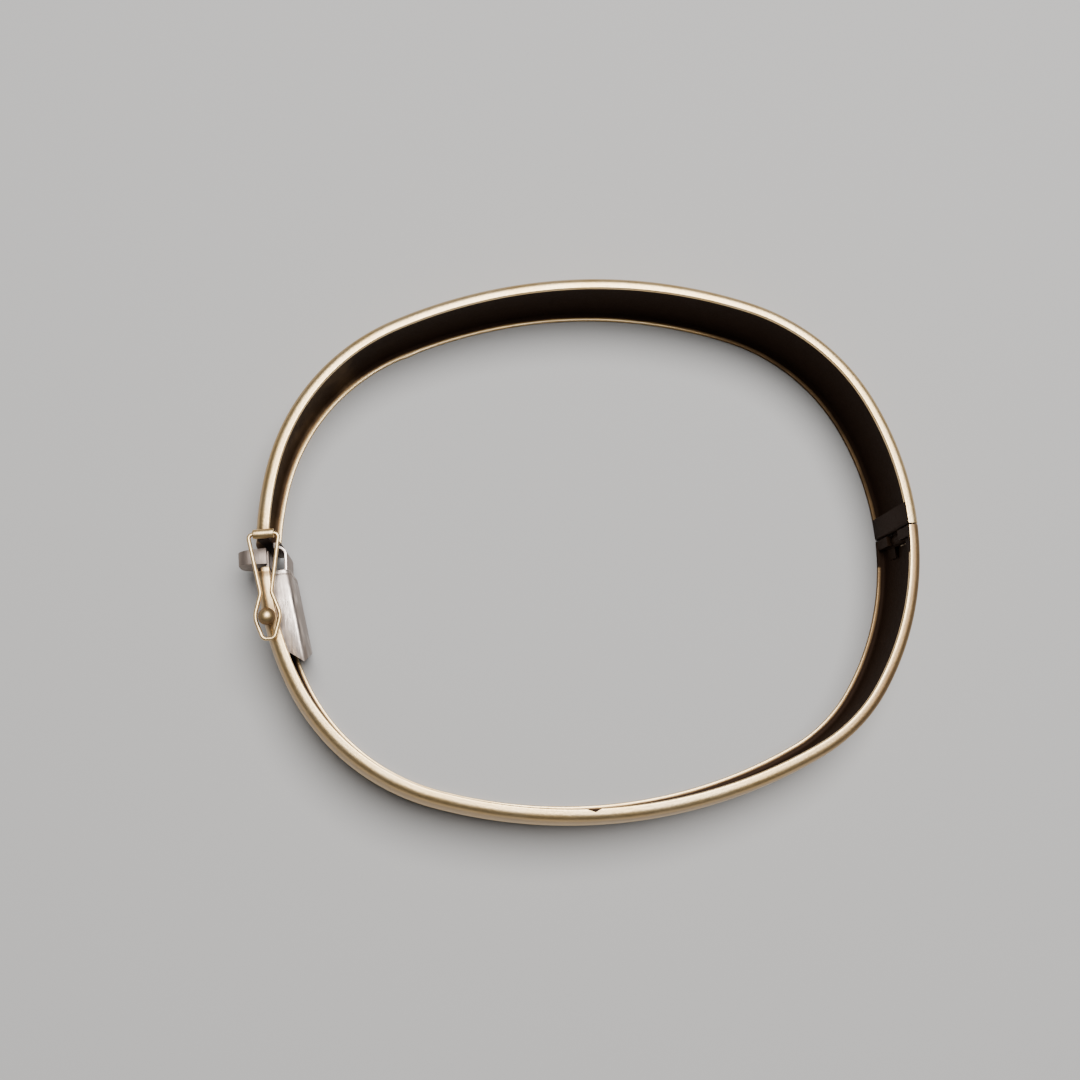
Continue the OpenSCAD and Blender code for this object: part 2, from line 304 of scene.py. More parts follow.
def rod(centre, radius, z_from, z_to):
    """A plain upright rod, for cutting and joining."""
    bm = bmesh.new()
    place = Matrix.Translation((centre.x, centre.y, (z_from + z_to) / 2))
    bmesh.ops.create_cone(
        bm,
        cap_ends=True,
        segments=ROD_SIDES,
        radius1=radius,
        radius2=radius,
        depth=z_to - z_from,
        matrix=place,
    )
    return bm


def raised(line, low_z, high_z):
    """The solid over a flat outline, between two heights."""
    bm = line.bm
    bmesh.ops.contextual_create(bm, geom=line.close())
    made = bmesh.ops.extrude_face_region(bm, geom=bm.faces[:])
    top = picked(made["geom"], bmesh.types.BMVert)
    bmesh.ops.translate(bm, verts=top, vec=(0, 0, high_z - low_z))
    bmesh.ops.translate(bm, verts=bm.verts[:], vec=(0, 0, low_z))
    return bm


def linked(name, data):
    """A new object of the scene."""
    made = bpy.data.objects.new(name, data)
    bpy.context.scene.collection.objects.link(made)
    return made


def as_object(bm, name):
    """Turns a bmesh into an object of the scene."""
    mesh = bpy.data.meshes.new(name)
    bm.to_mesh(mesh)
    bm.free()
    return linked(name, mesh)


def combine(first, second, operation):
    """Joins, cuts or intersects two closed solids, and gives the result."""
    solids = []
    for bm in (first, second):
        put_in_order(bm)
        bmesh.ops.recalc_face_normals(bm, faces=bm.faces[:])
        solids.append(as_object(bm, "working_solid"))
    modifier = solids[0].modifiers.new("combine", "BOOLEAN")
    modifier.solver = "EXACT"
    modifier.operation = operation
    modifier.object = solids[1]
    result = bmesh.new()
    result.from_object(solids[0], bpy.context.evaluated_depsgraph_get())
    for solid in solids:
        mesh = solid.data
        bpy.data.objects.remove(solid)
        bpy.data.meshes.remove(mesh)
    return result


def soften(bm, width, seam=None):
    """Wears a solid's sharp edges round, but not where its seam meets the rest of the band."""
    bmesh.ops.remove_doubles(bm, verts=bm.verts[:], dist=MERGED)
    put_in_order(bm)
    sharp = [
        edge
        for edge in bm.edges
        if len(edge.link_faces) == 2
        and edge.calc_face_angle() > SHARP_TURN
        and not (seam and all(seam(vert.co) for vert in edge.verts))
    ]
    bmesh.ops.bevel(
        bm,
        geom=sharp,
        offset=width,
        offset_type="OFFSET",
        segments=2,
        profile=0.5,
        affect="EDGES",
        clamp_overlap=True,
        material=-1,
    )


def seam_at(y):
    """Tells whether a point lies on a cut straight across the band."""
    return lambda point: abs(point.y - y) < 0.005


def ring_at(bm, z):
    """Adds a ring of edges round a solid at a height, so that its painted shade can end there."""
    geom = bm.verts[:] + bm.edges[:] + bm.faces[:]
    bmesh.ops.bisect_plane(bm, geom=geom, dist=MERGED, plane_co=(0, 0, z), plane_no=(0, 0, 1))


def finish_mesh(bm, name, body, shade_and_stain, replaced=()):
    """Normals outward, place and size in the mesh, and the piece's object on its body.

    The fourth argument gives how dark the patina and painted shade are at a point, from its place and
    its place on the unrolled band.
    """
    bmesh.ops.remove_doubles(bm, verts=bm.verts[:], dist=MERGED)
    put_in_order(bm)
    bmesh.ops.recalc_face_normals(bm, faces=bm.faces[:])
    course = bm.verts.layers.float_vector.new("course")
    # The layer holds solder stains, painted shade and the ball's painted highlight.
    patina_and_painted_shade = bm.verts.layers.float.new("patina_and_painted_shade")
    for vert in bm.verts:
        vert[course] = unrolled(vert.co)
        vert[patina_and_painted_shade] = shade_and_stain(vert.co, vert[course])
    bmesh.ops.translate(bm, verts=bm.verts[:], vec=(FOOTPRINT_SHIFT, 0, 0))
    bmesh.ops.scale(bm, verts=bm.verts[:], vec=(MM, MM, MM))
    for face in bm.faces:
        face.smooth = True
    piece = as_object(bm, name)
    piece.data.set_sharp_from_angle(angle=math.radians(40))
    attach(piece, body)
    if replaced:
        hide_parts(*replaced)
    return piece


# Sections of the band, drawn from the rim's outer edge


def dome_circle():
    """The dome's radius, and half its turn in degrees, so that it runs into both shoulders."""
    lead = DOME_RISE - (RIM_FLAT - RIM_W)
    drop = BAND_H / 2 - SHOULDER_R
    radius = (lead * lead + drop * drop - SHOULDER_R * SHOULDER_R) / (2 * (lead - SHOULDER_R))
    return radius, math.degrees(math.asin(drop / (radius - SHOULDER_R)))


DOME_R, DOME_TURN = dome_circle()
SHOULDER_U = RIM_FLAT - RIM_W


def outer_reach(z):
    """How far the band's outer face stands out from the rim's outer edge at a height."""
    up = abs(z - BAND_H / 2)
    shoulder_start = DOME_R * math.sin(math.radians(DOME_TURN))
    if up <= shoulder_start:
        return DOME_RISE - DOME_R + math.sqrt(DOME_R**2 - up**2)
    past = min(up - (BAND_H / 2 - SHOULDER_R), SHOULDER_R)
    return SHOULDER_U + math.sqrt(SHOULDER_R**2 - past**2)


def outside(line):
    """The upper rim with its worn edge, the domed face between its shoulders, and the lower rim."""
    line.turn(-RIM_W + EDGE_R, BAND_H - EDGE_R, -90, EDGE_STEPS)
    line.run(SHOULDER_U, BAND_H, RIM_STEPS)
    line.turn(SHOULDER_U, BAND_H - SHOULDER_R, DOME_TURN - 90, SHOULDER_STEPS)
    line.turn(DOME_RISE - DOME_R, BAND_H / 2, -2 * DOME_TURN, DOME_STEPS)
    line.turn(SHOULDER_U, SHOULDER_R, DOME_TURN - 90, SHOULDER_STEPS)
    line.run(-RIM_W + EDGE_R, 0, RIM_STEPS)
    line.turn(-RIM_W + EDGE_R, EDGE_R, -90, EDGE_STEPS)


def sheet_section(bm):
    """The open channel: its outside, and back along its inside."""
    line = Outline(bm, -RIM_W, BAND_H - SHEET_T + INNER_EDGE_R)
    line.run(-RIM_W, BAND_H - EDGE_R)
    outside(line)
    line.run(-RIM_W, SHEET_T - INNER_EDGE_R)
    line.turn(-RIM_W + INNER_EDGE_R, SHEET_T - INNER_EDGE_R, -90, INNER_EDGE_STEPS)
    line.run(SHOULDER_U, SHEET_T, INNER_RIM_STEPS)
    line.turn(SHOULDER_U, SHOULDER_R, 90 - DOME_TURN, INNER_SHOULDER_STEPS)
    line.turn(DOME_RISE - DOME_R, BAND_H / 2, 2 * DOME_TURN, INNER_DOME_STEPS)
    line.turn(SHOULDER_U, BAND_H - SHOULDER_R, 90 - DOME_TURN, INNER_SHOULDER_STEPS)
    line.run(-RIM_W + INNER_EDGE_R, BAND_H - SHEET_T, INNER_RIM_STEPS)
    line.turn(-RIM_W + INNER_EDGE_R, BAND_H - SHEET_T + INNER_EDGE_R, -90, INNER_EDGE_STEPS)
    return line.close()


def filled_section(bm):
    """The same outside filled across its open side, for the end plates and the hinge."""
    line = Outline(bm, -RIM_W, BAND_H - EDGE_R)
    outside(line)
    return line.close()


def between(elements, verts):
    """The edges or faces that have all their vertices among those given."""
    chosen = set(verts)
    return [element for element in elements if all(vert in chosen for vert in element.verts)]


def sweep(bm, edges, spans, radius):
    """Carries a section round arcs that run into each other, and closes both ends."""
    bmesh.ops.contextual_create(bm, geom=edges)
    centre, start, _ = spans[0]
    verts = bm.verts[:]
    turn = Matrix.Rotation(math.radians(start), 3, "Z")
    bmesh.ops.translate(bm, verts=verts, vec=(radius, 0, 0))
    bmesh.ops.rotate(bm, verts=verts, cent=(0, 0, 0), matrix=turn)
    bmesh.ops.translate(bm, verts=verts, vec=centre)
    front = list(edges)
    for centre, start, stop in spans:
        reach = (verts[0].co.xy - centre.xy).length
        angle = math.radians(stop - start)
        steps = max(2, round(abs(angle) * reach / RING_STEP))
        verts, _ = spun(bm, front, centre, (0, 0, 1), angle, steps)
        put_in_order(bm)
        verts.sort(key=lambda vert: vert.index)
        front = between(bm.edges, verts)
    bmesh.ops.contextual_create(bm, geom=front)


def trim(bm, y, keep_above, side):
    """Cuts off one end of the band across it, and closes the cut.

    side is 1 at the hinge and -1 at the clasp.
    """
    put_in_order(bm)
    near = [vert for vert in bm.verts if vert.co.x * side > 0]
    cut = bmesh.ops.bisect_plane(
        bm,
        geom=near + between(bm.edges, near) + between(bm.faces, near),
        dist=1e-6,
        plane_co=(0, y, 0),
        plane_no=(0, -1 if keep_above else 1, 0),
        clear_outer=True,
        clear_inner=False,
    )
    bmesh.ops.contextual_create(bm, geom=picked(cut["geom_cut"], bmesh.types.BMEdge))


# Patina and painted shade: how dark a piece is painted, from 0 where it is left bright to 1 where it
# is darkest. Solder stains are real tarnish; the rest is painted shade in hollows, undersides and
# faces turned from the light, with a painted highlight on the ball. Each piece's function takes a
# point, and the point's course on the unrolled band.

# How near to a face or a rim a point counts as on it
ON_FACE = 0.03
ON_RIM = 0.01

# Heat tarnish of solder joints: its strength, how far off it begins to fade, and how far it goes
BALL_STAIN = (0.42, 0.6, 2.6)
TUBE_STAIN = (0.36, 0.5, 1.5)
PLATE_STAIN = (0.4, 0.1, 0.5)
PLATE_STAIN_Y = -1.0

# Painted shade of the outer face at its shoulders, the share of it that the dome's middle has, and
# how far from the middle it grows
SHOULDER_SHADE = 0.34
DOME_SHARE = 0.3
DOME_GROWTH = (1.5, 3.3)

# Painted shade of the lower half's upper rim, where it grows towards the hinge, and how far below the
# rim's top and in from its inner edge it grows
RIM_SHADE = 0.42
RIM_SHADE_X = (4, 24)
RIM_SHADE_DROP = (1.6, 0.2)
RIM_SHADE_IN = (0.15, 0.3)

# Where the lit strip of the rims' lips ends and the channel's painted shade begins, in from their
# edges, and where it starts at the hinge
LIT_LIP = (0.1, 0.38)
LIP_START_Y = -4.0

# Where the lower lips get painted shade towards the hinge, and where the channel is painted lighter
# towards the clasp, as light reaches in
LIP_DULL = 0.6
UPPER_DULL_X = (6, 20)
LOWER_DULL_X = (20, 27)
LOWER_DULL_SHARE = 0.7
CLASP_LIGHT_X = (8, 24)
CLASP_LIGHT = 0.25

# The heights between which the clasp box's painted shade gives way to its bright top
BOX_BRIGHT_Z = (6.2, 6.9)


def fade(value, low, high):
    """0 below low, 1 above high, and a straight rise between them."""
    return min(1.0, max(0.0, (value - low) / (high - low)))


def stain(distance, strength, full, gone):
    """Tarnish that is full near its joint and fades with the distance from it."""
    return strength * (1 - fade(distance, full, gone))


def solder_stain(point):
    """Heat tarnish on the upper rim, round the ball's post, the tube and the lower end plate."""
    if point.z < BAND_H - SHOULDER_R:
        return 0.0
    at_ball = stain((point.xy - BALL.xy).length, *BALL_STAIN)
    at_tube = stain((point.xy - CATCH.xy).length, *TUBE_STAIN)
    at_plate = stain(abs(point.y - PLATE_STAIN_Y), *PLATE_STAIN) if point.x < 0 else 0.0
    return max(at_ball, at_tube, at_plate)


def shoulder_painted_shade(point, out):
    """Painted shade makes the outer face yellower than the rims, most of all at its shoulders."""
    from_middle = fade(abs(point.z - BAND_H / 2), *DOME_GROWTH)
    past_rim = fade(out, -0.25, 0.2)
    return SHOULDER_SHADE * (DOME_SHARE + (1 - DOME_SHARE) * from_middle) * past_rim


def rim_painted_shade(point, out):
    """Painted shade on the lower half's upper rim, deeper towards the hinge, not on its inner lip."""
    if point.y > 0:
        return 0.0
    near_top = fade(point.z, BAND_H - RIM_SHADE_DROP[0], BAND_H - RIM_SHADE_DROP[1])
    past_lip = fade(out, -RIM_W + RIM_SHADE_IN[0], -RIM_W + RIM_SHADE_IN[1])
    return RIM_SHADE * fade(point.x, *RIM_SHADE_X) * near_top * past_lip


def band_stains_and_shade(point, course):
    """Painted shade inside the channel, left off the lips where their edges catch the light, and
    solder stains and painted shade outside it.

    The lower lips get painted shade near the hinge, and the channel is painted lighter near the
    clasp, where light reaches in.
    """
    out, z = course.y, course.z
    in_channel = SHEET_T - ON_FACE < z < BAND_H - SHEET_T + ON_FACE
    inside = in_channel and out < outer_reach(z) - SHEET_T / 2
    if point.y > 0:
        near_hinge = fade(point.x, *UPPER_DULL_X)
        near_clasp = fade(-point.x, *CLASP_LIGHT_X)
    else:
        near_hinge = LOWER_DULL_SHARE * fade(point.x, *LOWER_DULL_X)
        near_clasp = 0.0
    if not inside:
        dull_lip = LIP_DULL * near_hinge if z < SHEET_T and out < SHOULDER_U else 0.0
        outer_shade = max(rim_painted_shade(point, out), shoulder_painted_shade(point, out))
        return max(solder_stain(point), dull_lip, outer_shade)
    # Painted shade on the channel's wall, fading in from the lip, lighter near the clasp.
    on_wall = fade(out, -RIM_W + LIT_LIP[0], -RIM_W + LIT_LIP[1] + 0.1 * near_clasp)
    if z < BAND_H / 2:
        on_wall = max(on_wall, LIP_DULL * near_hinge)
    return on_wall * (1 - CLASP_LIGHT * near_clasp)


def hinge_painted_shade(point, course):
    """Painted shade everywhere in the hinge but on the outer face and the rims."""
    on_outer_face = course.y > outer_reach(point.z) - ON_FACE
    on_rims_or_face = not ON_RIM < point.z < BAND_H - ON_RIM or on_outer_face
    return shoulder_painted_shade(point, course.y) if on_rims_or_face else 1.0


def lower_hinge_painted_shade(point, course):
    """Painted shade as in the rest of the hinge, and as on the band past the knuckles."""
    if point.y < LIP_START_Y:
        return band_stains_and_shade(point, course)
    outer_shade = rim_painted_shade(point, course.y) if point.z > BAND_H - SHOULDER_R else 0.0
    return max(hinge_painted_shade(point, course), outer_shade)


def plate_painted_shade(point, course):
    """The plates at the clasp have painted shade, lighter only on their outer face."""
    margin = 0.3
    off_rims = margin < point.z < BAND_H - margin
    on_outer_dome = off_rims and course.y > outer_reach(point.z) - ON_FACE
    return 0.3 if on_outer_dome else 1.0


def lower_plate_painted_shade(point, course):
    """The lower half's plate is also left bright along its top, where it ends the rim."""
    return 0.0 if point.z > BAND_H - 0.06 else plate_painted_shade(point, course)


def tube_painted_shade(point, course):
    """Painted shade: the tube is bright on top and dark underneath."""
    return 0.12 + 0.6 * (1 - fade(point.z, CATCH.z - TUBE_R, CATCH.z))


def solder_tarnish_and_shade(point, course):
    """Solder is dark all over, with its own tarnish and painted shade under the tube."""
    return 0.9


def ball_shade_and_highlight(point, course):
    """Painted shade round the post under the ball, brown on its sides, a painted highlight on its
    crown.
    """
    at_post = 1 - fade(point.z, BAND_H, BALL.z + 0.4)
    on_crown = fade(point.z, BALL.z + 0.45, BALL.z + 0.7)
    return 0.48 + 0.36 * at_post - 0.38 * on_crown


def wire_painted_shade(point, course):
    """Painted shade: the wire is darker underneath."""
    return 0.1 + 0.3 * (1 - fade(point.z, CATCH.z - WIRE_R, CATCH.z))


def box_painted_shade(point, course):
    """The box's top is bright, and its tall inner face has painted shade."""
    return 0.05 + 0.22 * (1 - fade(point.z, *BOX_BRIGHT_Z))


def tongue_painted_shade(point, course):
    """The strip has painted shade everywhere but along its upper edge."""
    return 0.1 if point.z > (BAND_H + TONGUE_H) / 2 - 0.02 else 1.0


def thumb_painted_shade(point, course):
    """The outer part of the thumb-piece, where it slopes down, has painted shade; the rest is
    brighter.
    """
    return 0.15 + 0.5 * fade(-HALF_W - point.x, 0.5, 1.2)


# The two bands


def press(bm, spot, towards, width, depth):
    """Presses a soft dent into the metal round a spot."""
    push = Vector(towards).normalized() * depth
    for vert in bm.verts:
        away = (vert.co - spot).length / width
        if away < 1:
            vert.co += push * (1 - away * away) ** 2


def nicked(bm):
    """Files a V-shaped nick into the lower half's upper rim, from inside."""
    x = -2.95
    depth = 0.24
    half_w = 0.55
    reach = 0.6
    inner_y = -(HALF_D - RIM_W)
    line = Outline(bmesh.new(), x - half_w * 2, inner_y + depth, flat=True)
    line.run(x, inner_y - depth)
    line.run(x + half_w * 2, inner_y + depth)
    return combine(bm, raised(line, BAND_H - reach, BAND_H + reach), "DIFFERENCE")


def upper_band():
    """The upper half's channel, with a dent where the photo's outline dips."""
    bm = bmesh.new()
    spans = arcs(HINGE_UPPER, False, False) + reverse(arcs(CLASP_UPPER, True, False))
    sweep(bm, sheet_section(bm), spans, HINGE_UPPER.end_r)
    trim(bm, HINGE_FILL_Y, True, 1)
    trim(bm, UPPER_END_Y + END_PLATE_T, True, -1)
    press(bm, spot=Vector((-15.6, 21.6, 0.2)), towards=(0.5, -0.8, 0.3), width=1.3, depth=0.08)
    return finish_mesh(bm, "upper_band", "upper", band_stains_and_shade, ["upper_half"])


def lower_band():
    """The lower half's channel, with the nick in its rim."""
    bm = bmesh.new()
    spans = arcs(HINGE_LOWER, False, True)
    centre, _, stop = spans[0]
    spans[0] = (centre, -HINGE_END_TURN, stop)
    spans += reverse(arcs(CLASP_LOWER, True, True))
    sweep(bm, sheet_section(bm), spans, HINGE_LOWER.end_r)
    trim(bm, LOWER_END_Y - END_PLATE_T, False, -1)
    bm = nicked(bm)
    return finish_mesh(bm, "lower_band", "lower", band_stains_and_shade, ["lower_half"])


# The hinge


def hinge_solid():
    """The band's filled outline on both sides of the hinge."""
    turn_below = -12
    turn_above = 6
    bm = bmesh.new()
    spans = [(HINGE_LOWER.end, turn_below, 0), (HINGE_UPPER.end, 0, turn_above)]
    sweep(bm, filled_section(bm), spans, HINGE_LOWER.end_r)
    return bm


def upper_hinge_block():
    """The solid end of the upper half, with the middle knuckle that reaches down to the pin."""
    low_z, high_z = MIDDLE_KNUCKLE
    web_top = PIN.y + PIN_DROP + HINGE_GAP + OVERLAP
    past_rim = 0.02
    inner_x = PIN.x - RIM_W - past_rim
    line = Outline(bmesh.new(), inner_x, HINGE_FILL_Y, flat=True)
    line.run(inner_x, HINGE_CUT_Y + RIM_END_R)
    line.turn(inner_x + RIM_END_R, HINGE_CUT_Y + RIM_END_R, 90, 8)
    line.run(FAR, HINGE_CUT_Y)
    line.run(FAR, HINGE_FILL_Y)
    shape = raised(line, BELOW, ABOVE)
    web = block((PIN.x - WEB_HALF_W, PIN.y, low_z), (PIN.x + WEB_HALF_W, web_top, high_z))
    shape = combine(shape, web, "UNION")
    shape = combine(shape, rod(PIN, KNUCKLE_R, low_z, high_z), "UNION")
    shape = combine(hinge_solid(), shape, "INTERSECT")
    shape = combine(shape, rod(PIN, BORE_R, *BORE_Z), "DIFFERENCE")
    soften(shape, 0.1, seam_at(HINGE_FILL_Y))
    below_rim = 0.05
    for z in (below_rim, BAND_H - below_rim):
        ring_at(shape, z)
    return finish_mesh(shape, "upper_hinge_block", "upper", hinge_painted_shade)


def end_knuckle(low_z, high_z, end_y):
    """One of the lower half's knuckles, with the webs that carry it, within the band's outline."""
    top_web_drop = 0.4
    long_web_drop = 1.6
    long_web_out = 0.35
    knuckle = rod(PIN, KNUCKLE_R, low_z, high_z)
    top_web = block((PIN.x - RIM_W, PIN.y - top_web_drop, low_z), (PIN.x, end_y, high_z))
    low = (PIN.x - WEB_HALF_W, PIN.y - long_web_drop, low_z)
    long_web = block(low, (PIN.x + long_web_out, PIN.y, high_z))
    knuckle = combine(knuckle, top_web, "UNION")
    knuckle = combine(knuckle, long_web, "UNION")
    return combine(hinge_solid(), knuckle, "INTERSECT")


def lower_hinge_end():
    """The end of the lower half's channel, with two knuckles and a hollow round the middle one."""
    shape = bmesh.new()
    sweep(shape, sheet_section(shape), [(HINGE_LOWER.end, -HINGE_END_TURN, 0)], HINGE_LOWER.end_r)
    end_y = HINGE_CUT_Y - HINGE_GAP
    shape = combine(shape, block((0, end_y, BELOW), (FAR, 2, ABOVE)), "DIFFERENCE")
    relief_top = BAND_H - RELIEF_Z
    wide = block((0, PIN.y - RELIEF_DROP, 0), (FAR, 0, BAND_H))
    wide = combine(rod(PIN, RELIEF_R, RELIEF_Z, relief_top), wide, "INTERSECT")
    shape = combine(shape, wide, "DIFFERENCE")
    shape = combine(shape, rod(PIN, KNUCKLE_R + KNUCKLE_GAP, RELIEF_Z, relief_top), "DIFFERENCE")
    for low_z, high_z in END_KNUCKLES:
        shape = combine(shape, end_knuckle(low_z, high_z, end_y), "UNION")
    shape = combine(shape, rod(PIN, BORE_R, *BORE_Z), "DIFFERENCE")
    seam_x = -HINGE_LOWER.end_r * math.radians(HINGE_END_TURN)
    soften(shape, 0.09, lambda point: abs(unrolled(point).x - seam_x) < 0.02)
    return finish_mesh(shape, "lower_hinge_end", "lower", lower_hinge_painted_shade)


# The clasp's gold pieces


def upper_end_plate():
    """The plate that closes the upper half, with the bracket for the tongue's foot."""
    centre = Vector((-CLASP_UPPER.end.x, 0, 0))
    turn = 7
    shape = bmesh.new()
    sweep(shape, filled_section(shape), [(centre, 180, 180 - turn)], CLASP_UPPER.end_r)
    top_y = UPPER_END_Y + END_PLATE_T
    shape = combine(shape, block((-FAR, UPPER_END_Y, BELOW), (0, top_y, ABOVE)), "INTERSECT")
    bracket_in = 0.12
    low_x = MOUTH_X + bracket_in
    low_z = (BAND_H - TONGUE_H) / 2
    bracket = block((low_x, UPPER_END_Y, low_z), (low_x + RIM_W, top_y, low_z + TONGUE_H))
    shape = combine(shape, bracket, "UNION")
    soften(shape, 0.08, seam_at(top_y))
    return finish_mesh(shape, "upper_end_plate", "upper", plate_painted_shade)


def lower_end_plate():
    """The plate that closes the lower half, with the mouth that the tongue goes in by."""
    centre = Vector((-CLASP_LOWER.end.x, 0, 0))
    turn = 4
    shape = bmesh.new()
    sweep(shape, filled_section(shape), [(centre, -180, -180 + turn)], CLASP_LOWER.end_r)
    low_y = LOWER_END_Y - END_PLATE_T
    shape = combine(shape, block((-FAR, low_y, BELOW), (0, LOWER_END_Y, ABOVE)), "INTERSECT")
    mouth_w = 2
    under_plate, over_plate = -2, 1
    for x, height in ((MOUTH_X, TONGUE_H), (NOTCH_X, NECK_H)):
        low_z = (BAND_H - height) / 2 - MOUTH_CLEAR
        mouth = block((x, under_plate, low_z), (x + mouth_w, over_plate, BAND_H - low_z))
        shape = combine(shape, mouth, "DIFFERENCE")
    soften(shape, 0.08, seam_at(low_y))
    return finish_mesh(shape, "lower_end_plate", "lower", lower_plate_painted_shade)


def catch_tube():
    """The tube that the catch turns in."""
    bm = bmesh.new()
    round_r = 0.08
    half_l = TUBE_L / 2
    line = Outline(bm, -half_l, TUBE_BORE_R)
    line.run(-half_l, TUBE_R - round_r)
    line.turn(-half_l + round_r, TUBE_R - round_r, -90, 4)
    line.run(half_l - round_r, TUBE_R, 6)
    line.turn(half_l - round_r, TUBE_R - round_r, -90, 4)
    line.run(half_l, TUBE_BORE_R)
    line.run(-half_l, TUBE_BORE_R, 6)
    profile = line.close() + bm.verts[:]
    spun(bm, profile, (0, 0, 0), (1, 0, 0), math.tau, TUBE_SIDES, closed=True)
    bmesh.ops.translate(bm, verts=bm.verts[:], vec=CATCH)
    return finish_mesh(bm, "catch_tube", "upper", tube_painted_shade)


def tube_saddle():
    """The saddle of solder that holds the tube on the rim."""
    outward = 0.56
    inset = 0.15
    sunk = 0.25
    length = 0.55
    height = 0.45
    low = Vector((CATCH.x - outward, UPPER_END_Y + inset, BAND_H - sunk))
    bm = block(low, low + Vector((2 * TUBE_R, length, height)))
    bore = bmesh.new()
    turn = Matrix.Rotation(math.radians(90), 4, "Y")
    bmesh.ops.create_cone(
        bore,
        cap_ends=True,
        segments=TUBE_SIDES,
        radius1=TUBE_R - OVERLAP,
        radius2=TUBE_R - OVERLAP,
        depth=4,
        matrix=Matrix.Translation(CATCH) @ turn,
    )
    bm = combine(bm, bore, "DIFFERENCE")
    soften(bm, 0.06)
    return finish_mesh(bm, "tube_saddle", "upper", solder_tarnish_and_shade)


def ball_and_post():
    """The ball that the catch snaps over, with its post and a small collar of solder."""
    bm = bmesh.new()
    neck_turn = math.degrees(math.asin(POST_R / BALL_R))
    neck_z = BALL.z - BALL_R * math.cos(math.radians(neck_turn))
    collar_r = 0.1
    line = Outline(bm, 0, BAND_H - POST_R)
    line.run(POST_R + collar_r, BAND_H - POST_R)
    line.run(POST_R + collar_r, BAND_H)
    line.turn(POST_R + collar_r, BAND_H + collar_r, -90, 4)
    line.run(POST_R, neck_z, 2)
    line.turn(0, BALL.z, 180 - neck_turn, 28)
    profile = bm.edges[:] + bm.verts[:]
    spun(bm, profile, (0, 0, 0), (0, 0, 1), math.tau, BALL_SIDES, closed=True)
    bmesh.ops.translate(bm, verts=bm.verts[:], vec=(BALL.x, BALL.y, 0))
    return finish_mesh(bm, "ball_and_post", "lower", ball_shade_and_highlight)


# Corners of the catch's wire, from the tube round its far end: across, along, and bend radius there
CATCH_ROUTE = (
    (1.32, 0, 0.37),
    (0.42, -5.18, 0.61),
    (1.11, -7.24, 1.62),
    (0.46, -CATCH_L, 0.45),
    (-0.49, -CATCH_L, 0.47),
    (-1.13, -7.3, 1.83),
    (-0.51, -5.25, 0.7),
    (-1.34, 0, 0.36),
)
DEGREES_A_STEP = 7


def turn_between(before, after):
    """The signed angle from one flat direction to another."""
    return math.atan2(before.cross(after).z, before.dot(after))


def extended(bm, front, way, length):
    """Draws the wire's end straight out in even steps, and gives its new end."""
    steps = max(2, round(length / RING_STEP))
    for _ in range(steps):
        made = bmesh.ops.extrude_edge_only(bm, edges=front)["geom"]
        verts = picked(made, bmesh.types.BMVert)
        bmesh.ops.translate(bm, verts=verts, vec=way * (length / steps))
        front = between(picked(made, bmesh.types.BMEdge), verts)
    return front


def safety_catch():
    """One closed loop of wire: a cross bar in the tube, a waist, and a round eye for the ball."""
    count = len(CATCH_ROUTE)
    spots = [Vector((x, y, 0)) for x, y, _ in CATCH_ROUTE]
    radii = [radius for _, _, radius in CATCH_ROUTE]
    runs = [spots[(i + 1) % count] - spots[i] for i in range(count)]
    headings = [run.normalized() for run in runs]
    angles = [turn_between(headings[i - 1], headings[i]) for i in range(count)]
    setbacks = [radii[i] * math.tan(abs(angles[i]) / 2) for i in range(count)]
    bm = bmesh.new()
    ring = bmesh.ops.create_circle(bm, segments=WIRE_SIDES, radius=WIRE_R)["verts"]
    turn = Vector((0, 0, 1)).rotation_difference(headings[-1]).to_matrix()
    bmesh.ops.rotate(bm, verts=ring, cent=(0, 0, 0), matrix=turn)
    bmesh.ops.translate(bm, verts=ring, vec=spots[0] - headings[-1] * setbacks[0])
    front = bm.edges[:]
    for i in range(count):
        before = headings[i - 1]
        begin = spots[i] - before * setbacks[i]
        centre = begin + Vector((-before.y, before.x, 0)) * math.copysign(radii[i], angles[i])
        steps = max(6, round(math.degrees(abs(angles[i])) / DEGREES_A_STEP))
        _, front = spun(bm, front, centre, (0, 0, 1), angles[i], steps)
        straight = runs[i].length - setbacks[i] - setbacks[(i + 1) % count]
        front = extended(bm, front, headings[i], straight)
    bmesh.ops.remove_doubles(bm, verts=bm.verts[:], dist=0.003)
    bmesh.ops.translate(bm, verts=bm.verts[:], vec=CATCH)
    return finish_mesh(bm, "safety_catch_wire", "catch", wire_painted_shade, ["safety_catch"])


# The clasp's white-metal pieces


def worn_copy(node, name, body, width, shade_and_stain):
    """A copy of a CAD solid with its sharp edges worn round."""
    bm = bmesh.new()
    bm.from_mesh(frame["nodes"][node].data)
    bmesh.ops.scale(bm, verts=bm.verts[:], vec=(1 / MM, 1 / MM, 1 / MM))
    bmesh.ops.translate(bm, verts=bm.verts[:], vec=(-FOOTPRINT_SHIFT, 0, 0))
    bmesh.ops.remove_doubles(bm, verts=bm.verts[:], dist=1e-3)
    flat_turn = math.radians(0.5)
    bmesh.ops.dissolve_limit(bm, angle_limit=flat_turn, verts=bm.verts[:], edges=bm.edges[:])
    soften(bm, width)
    return finish_mesh(bm, name, body, shade_and_stain, [node])


